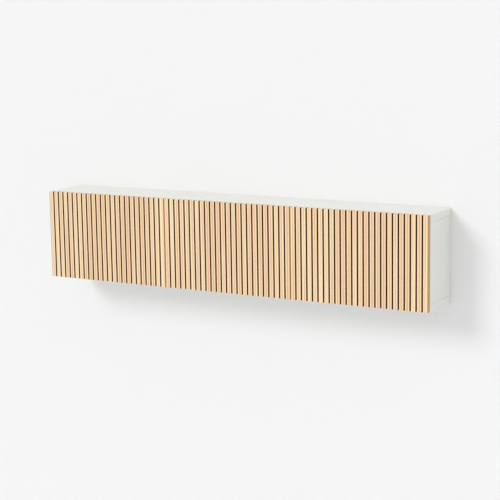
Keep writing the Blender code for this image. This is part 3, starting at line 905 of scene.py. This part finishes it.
finishOfNode = {
    "top_board": "whiteFoil", "bottom_board": "whiteFoil", "side": "whiteFoil", "back_panel": "whiteBoard",
    "wall_rail": "zincSheet", "hanger_block": "whitePlastic", "hanger_hook": "zincPlate",
    "hinge_cup": "hingeNickel", "hinge_link": "zincPlate", "hinge_arm": "hingeNickel",
    "latch_housing": "whitePlastic", "latch_plunger": "greyPlastic", "latch_striker": "zincPlate",
    "door": "birchSlat",
}
for nodeName, node in nodes.items():
    finish = next(finishes[finishOfNode[start]] for start in finishOfNode if nodeName.startswith(start))
    node.data.materials.clear()
    node.data.materials.append(finish)
print("solids finished:", len(nodes))


# Stage, lamps and camera

stageLook = {
    "wallSize": (14.0, 9.0), "wallBehind": 0.0005, "floorBelow": 1.45, "floorDepth": 8.0,
    "wallColour": (0.880, 0.880, 0.891, 1), "floorColour": (0.87, 0.87, 0.86, 1),
    "roughness": 0.9, "windowInset": 0.004, "windowDepths": (2.0, 1.5),
}


def makeStageFinish(name, colour):
    material = bpy.data.materials.new(name)
    material.use_nodes = True
    shader = material.node_tree.nodes["Principled BSDF"]
    shader.inputs["Base Color"].default_value = colour
    shader.inputs["Roughness"].default_value = stageLook["roughness"]
    shader.inputs["Specular IOR Level"].default_value = 0.0
    return material


def openBack(material, window):
    # from behind or below, the stage isn't there; rays that have bounced once to three times also pass
    # through the wall, inside a window a little smaller than the cabinet, which lights the cabinet's back
    tree = material.node_tree
    geometry = addNode(tree, "ShaderNodeNewGeometry").outputs
    hidden = geometry["Backfacing"]
    if window:
        place = splitXYZ(tree, geometry["Position"])
        bounces = addNode(tree, "ShaderNodeLightPath").outputs["Ray Depth"]
        inside = addMath(tree, "COMPARE", bounces, *stageLook["windowDepths"])
        for axis, low, high in (("X", cadLow.x, cadHigh.x), ("Z", cadLow.z, cadHigh.z)):
            reach = (high - low) / 2 - stageLook["windowInset"]
            near = addMath(tree, "COMPARE", place[axis], (low + high) / 2, reach)
            inside = addMath(tree, "MULTIPLY", inside, near)
        hidden = addMath(tree, "MAXIMUM", hidden, inside)
    clear = addNode(tree, "ShaderNodeBsdfTransparent")
    mix = addNode(tree, "ShaderNodeMixShader", {
        0: hidden, 1: tree.nodes["Principled BSDF"].outputs[0], 2: clear.outputs[0],
    })
    tree.links.new(mix.outputs[0], tree.nodes["Material Output"].inputs["Surface"])


def makeStage():
    halfWidth, halfHeight = (size / 2 for size in stageLook["wallSize"])
    wallY = cadHigh.y + stageLook["wallBehind"]
    floorZ = cadLow.z - stageLook["floorBelow"]
    corners = {
        "wall": [(-halfWidth, wallY, floorZ), (halfWidth, wallY, floorZ),
                 (halfWidth, wallY, halfHeight), (-halfWidth, wallY, halfHeight)],
        "floor": [(-halfWidth, wallY - stageLook["floorDepth"], floorZ),
                  (halfWidth, wallY - stageLook["floorDepth"], floorZ),
                  (halfWidth, wallY, floorZ), (-halfWidth, wallY, floorZ)],
    }
    for name, places in corners.items():
        shape = bmesh.new()
        shape.faces.new([shape.verts.new(place) for place in places])
        finish = makeStageFinish(name + "Paint", stageLook[name + "Colour"])
        openBack(finish, window=name == "wall")
        finishMesh(shape, name, [finish])


lightLook = {
    "sunFrom": (-0.468, -0.752, 0.500), "sunStrength": 1.00, "sunSoftness": 22.0,
    "sunColour": (1.0, 0.995, 0.985), "ambient": 0.82, "rightExtra": 0.07, "upExtra": -0.06,
}


def makeWorld():
    # an even white room, which lights a little less than it shows
    world = bpy.data.worlds.new("studio")
    world.use_nodes = True
    bpy.context.scene.world = world
    tree = world.node_tree
    rays = addNode(tree, "ShaderNodeLightPath").outputs
    mirrored = addMath(tree, "MAXIMUM", rays["Is Glossy Ray"], rays["Is Transmission Ray"])
    seen = addMath(tree, "MAXIMUM", rays["Is Camera Ray"], mirrored)
    toward = splitXYZ(tree, addNode(tree, "ShaderNodeTexCoord").outputs["Generated"])
    ambient = addMath(tree, "MULTIPLY_ADD", toward["X"], lightLook["rightExtra"], lightLook["ambient"])
    ambient = addMath(tree, "MULTIPLY_ADD", toward["Z"], lightLook["upExtra"], ambient)
    strength = mapRange(tree, seen, (0.0, 1.0), (ambient, 1.0))
    background = tree.nodes["Background"]
    background.inputs["Color"].default_value = (1, 1, 1, 1)
    tree.links.new(strength, background.inputs["Strength"])


def makeSun():
    light = bpy.data.lights.new("windowLight", "SUN")
    light.energy = lightLook["sunStrength"]
    light.angle = math.radians(lightLook["sunSoftness"])
    light.color = lightLook["sunColour"]
    sun = placeObject("windowLight", light)
    sun.rotation_euler = Vector(lightLook["sunFrom"]).to_track_quat("Z", "Y").to_euler()


cameraLook = {
    "place": (3.1245, -5.4160, 0.9264), "turn": 30.096, "down": 9.743, "roll": -0.915, "lens": 107.60,
}


def makeCamera():
    turn, down, roll = (math.radians(cameraLook[key]) for key in ("turn", "down", "roll"))
    ahead = Vector((-math.sin(turn) * math.cos(down), math.cos(turn) * math.cos(down), -math.sin(down)))
    level = Vector((math.cos(turn), math.sin(turn), 0))
    upright = level.cross(ahead)
    right = math.cos(roll) * level + math.sin(roll) * upright
    up = math.cos(roll) * upright - math.sin(roll) * level
    camera = placeObject("camera", bpy.data.cameras.new("camera"))
    camera.data.lens = cameraLook["lens"]
    rotation = Matrix((right, up, -ahead)).transposed().to_4x4()
    camera.matrix_world = Matrix.Translation(cameraLook["place"]) @ rotation
    bpy.context.scene.camera = camera


makeStage()
makeWorld()
makeSun()
makeCamera()
bpy.context.scene.view_settings.view_transform = "Standard"
print("stage, lamps and camera made")
